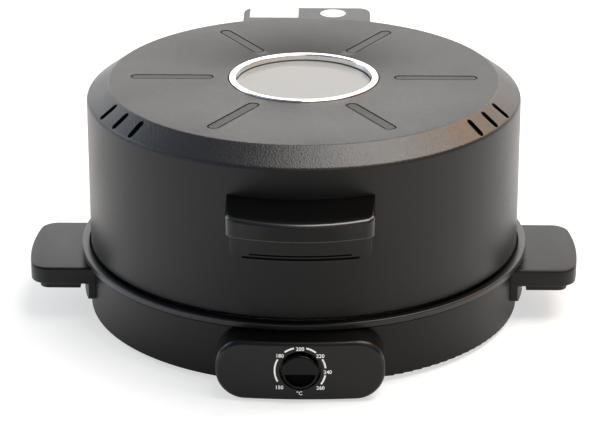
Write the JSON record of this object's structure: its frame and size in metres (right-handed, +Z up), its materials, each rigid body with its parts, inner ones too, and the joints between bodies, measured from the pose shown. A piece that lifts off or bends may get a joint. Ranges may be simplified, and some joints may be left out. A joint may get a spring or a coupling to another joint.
{
  "type": "electric pizza maker",
  "caption": "Round electric pizza maker: low base with a front dial and side handles, tall windowed lid hinged at the back, lift-out baking plate.",
  "frame": {"origin": "on the floor, under the centre of the object's box, which is on the axis of the round base", "axes": "+Z up; the control panel and lid handle face -Y, the hinge is at +Y, the side handles lie along X"},
  "size_m": [0.514, 0.494, 0.2222],
  "materials": {
    "base_shell": "fine matt black",
    "base_rim": "satin black",
    "sheet_steel": "aluminised sheet steel",
    "steel_small": "zinc plated",
    "rubber": "matt",
    "panel": "satin black",
    "handle": "satin black",
    "handle_cover": "matt black",
    "thermostat_body": "glazed",
    "ceramic": "unglazed",
    "copper": "drawn",
    "element": "oxidised heater tube",
    "terminal": "matt",
    "lid_shell": "fine leather grain",
    "bezel": "polished",
    "glass": "clear tempered",
    "silicone": "matt",
    "grip": "gloss top, satin sides",
    "box": "satin black",
    "knob": "gloss black",
    "plate": "dark non-stick coating"
  },
  "bodies": {
    "base": {"base_shell": "base_shell", "base_rim": "base_rim", "bottom_cover": "sheet_steel", "bottom_screws": "steel_small", "rubber_feet": "rubber", "control_panel": "panel", "panel_screws": "steel_small", "thermostat": "thermostat_body", "thermostat_nut": "steel_small", "sensing_bulb": "copper", "reflector": "sheet_steel", "lower_element": "element", "lower_clips": "steel_small", "lower_insulators": "ceramic", "terminal_block": "terminal", "left_handle": "handle", "right_handle": "handle", "left_handle_cover": "handle_cover", "right_handle_cover": "handle_cover", "handle_screws": "steel_small", "hinge_bracket": "box", "hinge_bracket_screws": "steel_small", "hinge_pin": "steel_small", "cord_gland": "rubber"},
    "lid": {"lid_shell": "lid_shell", "window_bezel": "bezel", "window_glass": "glass", "window_seal": "silicone", "window_clamp": "steel_small", "lid_liner": "sheet_steel", "liner_screws": "steel_small", "upper_element": "element", "upper_hangers": "steel_small", "upper_insulators": "ceramic", "lid_handle": "grip", "lid_handle_plate": "panel", "lid_handle_screws": "steel_small", "rear_box": "box", "rear_box_cover": "box", "rear_box_screws": "steel_small", "hinge_arms": "steel_small", "hinge_arm_screws": "steel_small"},
    "knob": {"thermostat_knob": "knob", "thermostat_shaft": "steel_small"},
    "pan": {"baking_plate": "plate"}
  },
  "joints": [
    {"name": "lid_hinge", "type": "hinge", "parent": "base", "child": "lid", "pos_m": [0, 0.225, 0.044], "axis": [-1, 0, 0], "range_deg": [0, 90]},
    {"name": "knob_turn", "type": "hinge", "parent": "base", "child": "knob", "pos_m": [0, -0.23, 0.03035], "axis": [0, 1, 0], "range_deg": [0, 270]},
    {"name": "plate_lift", "type": "slide", "parent": "base", "child": "pan", "axis": [0, 0, 1], "range_m": [0, 0.045]}
  ]
}
